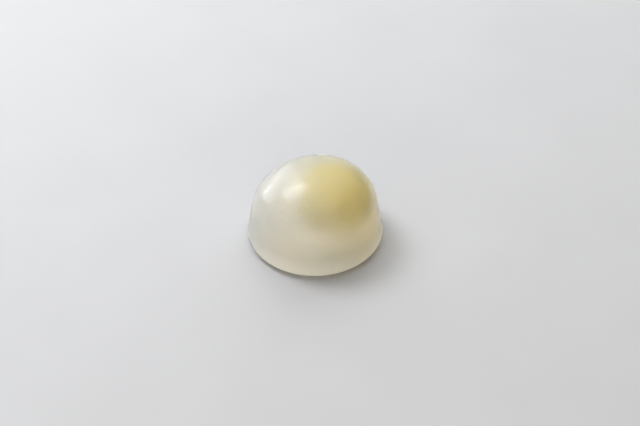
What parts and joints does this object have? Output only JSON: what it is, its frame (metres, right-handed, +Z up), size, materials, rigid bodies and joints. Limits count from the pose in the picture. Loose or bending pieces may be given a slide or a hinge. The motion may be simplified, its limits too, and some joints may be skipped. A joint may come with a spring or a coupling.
{
  "type": "kuzu manju",
  "caption": "Chilled sweet of milky kudzu-starch jelly set round a ball of bean paste, moulded as a low dome with a flat base.",
  "frame": {"origin": "centre of the flat base, on the surface that the sweet rests on", "axes": "+Z up through the crown; -Y is the side that faces the viewer; +X is the side that the paste lies towards"},
  "size_m": [0.054, 0.054, 0.0316],
  "materials": {
    "kuzu_jelly": "milky set jelly with a soft gloss, warmed by the paste inside",
    "bean_paste": "pale yellow sweet bean paste, matte and finely grained, seen through the jelly"
  },
  "bodies": {
    "root": {"kuzu_manju": "kuzu_jelly"}
  },
  "joints": []
}
